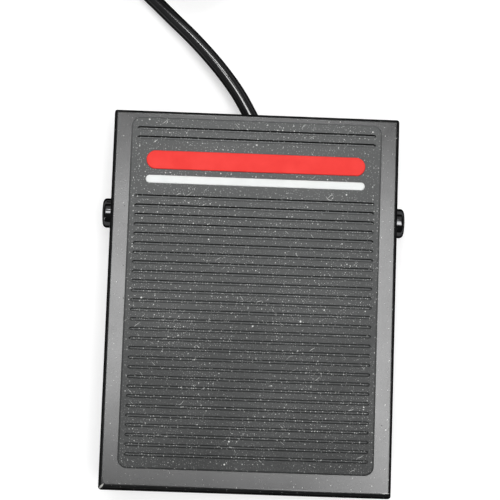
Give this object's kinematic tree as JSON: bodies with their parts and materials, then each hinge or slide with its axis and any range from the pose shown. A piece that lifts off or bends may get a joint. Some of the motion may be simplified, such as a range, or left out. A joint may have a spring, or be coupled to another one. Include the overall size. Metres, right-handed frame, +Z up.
{
  "type": "sustain pedal",
  "caption": "Compact keyboard foot pedal: a sprung, hinged steel cover with a grooved rubber tread over a tray with a lever switch, and a coiled cord with a phone plug.",
  "frame": {"origin": "on the floor, under the middle of the pedal at rest", "axes": "+X to the pedal's right seen from the toe end, +Y from the toe end towards the cord, +Z up"},
  "size_m": [0.1025, 0.2148, 0.0303],
  "materials": {
    "painted_steel": "satin black powder coat",
    "tread_rubber": "dark grey moulded rubber",
    "sole_rubber": "black rubber",
    "red_inlay": "red soft plastic",
    "white_inlay": "white soft plastic",
    "black_screw": "glossy black",
    "zinc_steel": "zinc plated",
    "spring_steel": "bare spring steel",
    "brass": "bare brass",
    "nylon": "natural nylon",
    "switch_plastic": "black moulded",
    "red_plunger": "red moulded",
    "cord_jacket": "glossy black soft vinyl",
    "core_insulation": "soft vinyl",
    "tie_plastic": "black soft vinyl",
    "plug_metal": "nickel plated",
    "plug_insulator": "black moulded"
  },
  "bodies": {
    "base": {"base_tray": "painted_steel", "sole_pad": "sole_rubber", "pivot_screws": "black_screw", "pivot_sleeves": "brass", "weld_nuts": "zinc_steel", "return_spring": "spring_steel", "spring_seat": "nylon", "press_buffers": "sole_rubber", "return_stop": "sole_rubber", "switch_case": "switch_plastic", "switch_cap": "switch_plastic", "lever_pin": "zinc_steel", "switch_terminals": "brass", "switch_bracket": "zinc_steel", "switch_screws": "zinc_steel", "switch_nuts": "zinc_steel", "bracket_rivets": "zinc_steel", "cord_saddle": "nylon", "saddle_screws": "zinc_steel", "cord_grommet": "sole_rubber", "cord_entry": "cord_jacket", "core_wires": "core_insulation", "cord_lead": "cord_jacket", "cord_coil": "cord_jacket", "cord_tail": "cord_jacket", "cord_ties": "tie_plastic", "plug_boot": "cord_jacket", "plug_handle": "cord_jacket", "plug_sleeve": "plug_metal", "plug_ring": "plug_insulator", "plug_tip": "plug_metal"},
    "pedal": {"pedal_cover": "painted_steel", "tread_mat": "tread_rubber", "red_stripe": "red_inlay", "white_stripe": "white_inlay", "spring_cup": "zinc_steel", "striker": "nylon"},
    "lever": {"switch_lever": "spring_steel"},
    "plunger": {"switch_plunger": "red_plunger"}
  },
  "joints": [
    {"name": "pedal_press", "type": "hinge", "parent": "base", "child": "pedal", "pos_m": [0, 0.02329, 0.0142], "axis": [1, 0, 0], "range_deg": [0, 5], "stiffness_Nm_per_rad": 4, "springref_deg": -4.01, "deforming": ["return_spring"]},
    {"name": "lever_swing", "type": "hinge", "parent": "base", "child": "lever", "pos_m": [0, 0.00569, 0.01875], "axis": [1, 0, 0], "range_deg": [0, 12.2]},
    {"name": "plunger_push", "type": "slide", "parent": "base", "child": "plunger", "axis": [0, 0, -1], "range_m": [0, 0.00096]}
  ],
  "couplings": [
    {"joint": "lever_swing", "follows": "pedal_press", "ratio": 2.434},
    {"joint": "plunger_push", "follows": "pedal_press", "m_per_rad": 0.010886}
  ]
}
